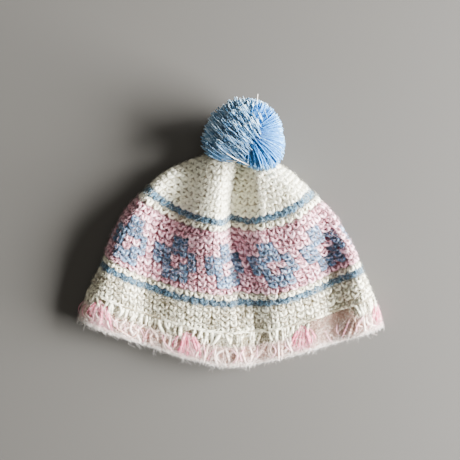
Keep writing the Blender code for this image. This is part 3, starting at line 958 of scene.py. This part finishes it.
# The pompom: the combed lobe, one that falls from a pole at the right, strands underneath and a
# ball in the middle, (sin(polar) cos(turn), sin(polar) sin(turn), cos(polar)).
def makePompom(rows=17, columns=28):
    left, right, under = pompom["strands"]
    # The left lobe, away from the window, and the strands underneath start darker in tone than the
    # right lobe: painted shade.
    pompomPiece("pompomLeft", combedStrands(left), pompomYarn,
                thickness=0.39 * mm, tones=(-1.3, 0.65), fade=3)
    path = fallingStrands(right, pole=(0.16, -0.12, 1.0), turns=(-125, 82), angles=(58, 112),
                          comb=1.3, rise=2.4, lengths=(0.80, 1.05))
    pompomPiece("pompomRight", path, rightLobeYarn,
                thickness=0.36 * mm, tones=(-0.4, 0.9), fade=9, varied=0.2)
    path = fallingStrands(under, pole=(0.0, 0.3, -1.0), turns=(0, 360), angles=(0, 90),
                          comb=0.9, rise=1.3, lengths=(0.85, 1.0))
    pompomPiece("pompomUnder", path, pompomYarn, thickness=0.50 * mm, tones=(-1.4, 0.4), fade=3)

    polar = np.linspace(0.02, math.pi - 0.02, rows)[:, None]
    turn = tau * np.arange(columns) / columns
    ball = [np.sin(polar) * np.cos(turn), np.sin(polar) * np.sin(turn), np.cos(polar) + 0 * turn]
    points = pompomMiddle + pompom["core"] * np.stack(ball, -1).reshape(-1, 3)
    number = np.arange(rows * columns).reshape(rows, columns)
    groups = [between(number[:-1], number[1:])[:, ::-1], number[:1], number[-1:, ::-1]]
    addPiece("pompomCore", points, groups, pompomYarn, ["pompom"], np.zeros(len(points)))
    print("pompom of", left + right + under, "strands")


makePompom()

# Loose ends round the pompom: points of each from the ball's middle, in millimetres.
looseEnds = {
    "tieEndLong": ((-11.5, -16.0, 16.0), (-8.3, -18.2, 15.5), (-4.8, -19.9, 14.0),
                   (-1.2, -21.4, 12.0), (2.2, -22.6, 9.5), (5.0, -23.5, 7.0)),
    "tieEndShort": ((-14.6, -19.5, 3.0), (-11.0, -20.1, 5.5), (-7.4, -20.6, 8.0),
                    (-3.7, -21.0, 10.0)),
    "strayStrand": ((7.9, 10.0, 8.0), (8.2, 14.5, 12.5), (8.5, 17.5, 16.0), (8.7, 20.5, 18.0),
                    (8.9, 24.0, 19.0)),
}

looseYarn = {
    "radius": 0.36 * mm,
    "taper": 0.35,
    "smoothing": 3,
}


# Each loose end follows straight lines through its points, smoothed to (before + 2 point +
# after) / 4 a few times, and thins towards its end.
def makeLooseEnds(steps=25):
    t = np.linspace(0, 1, steps)
    radius = looseYarn["radius"] * (1 - looseYarn["taper"] * t)
    for name, stops in looseEnds.items():
        at = np.linspace(0, 1, len(stops))
        line = np.stack([np.interp(t, at, axis) for axis in np.array(stops).T], -1)
        path = pompomMiddle + line * mm
        for _ in range(looseYarn["smoothing"]):
            path[1:-1] = (path[:-2] + 2 * path[1:-1] + path[2:]) / 4
        points, groups = tubes(path[None], radius[None], np.array([0.0, 0.0, 1.0]), sides=7,
                               ply=0.15, twist=1.2 / mm)
        addPiece(name, points, groups, rimYarn, ["pompom"])


makeLooseEnds()

view = {
    "height": 620 * mm,  # of the camera over the floor
    "across": 460 * 0.728 * mm,  # of floor in the frame: 460 pixels of 0.728 mm
    "roll": math.radians(1.33),
    "centre": (-1.9 * mm, 66.6 * mm),
}

studio = {
    "floorReach": 3.0,
    "floorColour": "464440",
    "floorRoughness": 0.8,
    "lamps": (  # name, place, size and power
        ("window", (1.44, 0.04, 0.42), 1.25, 500),
        ("fill", (0.1, 0.1, 1.2), 0.7, 3.0),
    ),
    "aim": (0, 0.06, 0),
    "airColour": "f6ecdd",
    "airLight": 0.22,
}


# A plain matt floor, the camera straight above, a window at the right and a weak lamp above.
def makeStage():
    reach = studio["floorReach"]
    corners = [(-reach, -reach, 0), (reach, -reach, 0), (reach, reach, 0), (-reach, reach, 0)]
    floor = bpy.data.meshes.new("floor")
    floor.from_pydata(corners, [], [(0, 1, 2, 3)])
    material = bpy.data.materials.new("paleFloor")
    material.use_nodes = True
    shader = material.node_tree.nodes["Principled BSDF"]
    shader.inputs["Base Color"].default_value = linearColour(studio["floorColour"])
    shader.inputs["Roughness"].default_value = studio["floorRoughness"]
    floor.materials.append(material)
    addObject("floor", floor)

    camera = bpy.data.cameras.new("camera")
    camera.lens = camera.sensor_width * view["height"] / view["across"]
    eye = addObject("camera", camera)
    eye.location = (*view["centre"], view["height"])
    eye.rotation_euler = (0, 0, view["roll"])
    bpy.context.scene.camera = eye

    for name, place, size, power in studio["lamps"]:
        lamp = bpy.data.lights.new(name, "AREA")
        lamp.size = size
        lamp.energy = power
        light = addObject(name, lamp)
        light.location = place
        x, y, z = np.array(studio["aim"]) - np.array(place)
        light.rotation_euler = (math.atan2(math.hypot(x, y), -z), 0, math.atan2(y, x) - math.pi / 2)
    world = bpy.data.worlds.new("studio")
    world.use_nodes = True
    air = world.node_tree.nodes["Background"]
    air.inputs["Color"].default_value = linearColour(studio["airColour"])
    air.inputs["Strength"].default_value = studio["airLight"]
    bpy.context.scene.world = world
    print("stage set")


makeStage()
